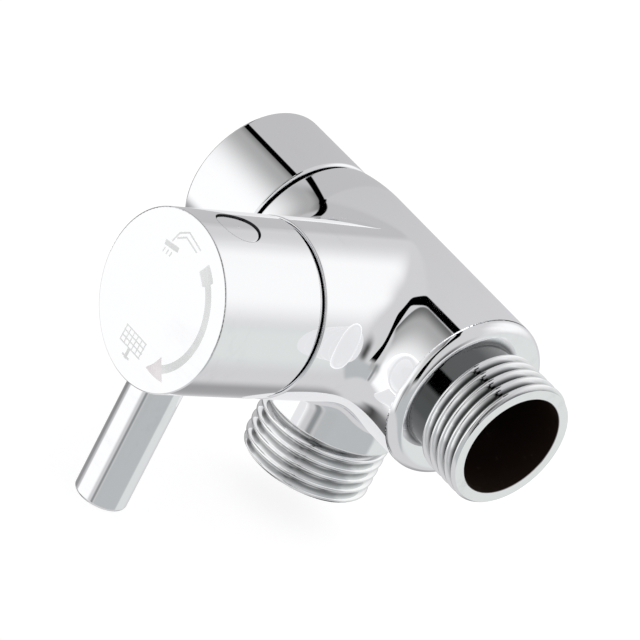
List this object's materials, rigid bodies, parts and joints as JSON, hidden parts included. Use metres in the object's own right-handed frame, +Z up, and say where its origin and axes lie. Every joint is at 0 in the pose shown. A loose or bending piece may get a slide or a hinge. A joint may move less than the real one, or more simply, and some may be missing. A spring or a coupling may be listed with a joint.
{
  "type": "shower diverter valve",
  "caption": "Chrome shower diverter valve: a tube body with a swivel inlet nut, threaded outlets at right angles, and a round knob with a rod lever.",
  "frame": {"origin": "centre of the inlet washer's sealing face, where the supply pipe's end seats", "axes": "+Y back into the supply pipe, +Z up, away from the lower outlet; the knob points to -X"},
  "size_m": [0.0589, 0.0688, 0.0486],
  "materials": {
    "chrome": "brass plated with polished chrome",
    "brass": "turned, bare",
    "stainless": "bare stainless steel",
    "black_rubber": "smooth",
    "white_ceramic": "lapped",
    "white_plastic": "moulded acetal",
    "grey_plastic": "moulded acetal"
  },
  "bodies": {
    "body": {"valve_body": "chrome", "nut_snap_ring": "stainless", "inlet_washer": "black_rubber", "filter_screen": "stainless", "cartridge_housing": "grey_plastic", "housing_o_ring": "black_rubber", "base_seal": "black_rubber", "fixed_disc": "white_ceramic", "spindle_o_ring_inner": "black_rubber", "spindle_o_ring_outer": "black_rubber", "bonnet_nut": "brass", "slide_ring": "white_plastic"},
    "handle": {"moving_disc": "white_ceramic", "disc_carrier": "white_plastic", "cartridge_spindle": "brass", "friction_washer": "white_plastic", "spindle_clip": "stainless", "knob": "chrome", "lever_rod": "chrome", "hole_plug": "chrome", "set_screw": "stainless"},
    "nut": {"inlet_nut": "chrome"}
  },
  "joints": [
    {"name": "handle_turn", "type": "hinge", "parent": "body", "child": "handle", "pos_m": [-0.0376, -0.027, 0], "axis": [-1, 0, 0], "range_deg": [0, 90]},
    {"name": "nut_swivel", "type": "hinge", "parent": "body", "child": "nut", "pos_m": [0, 0, 0], "axis": [0, 1, 0], "continuous": true}
  ]
}
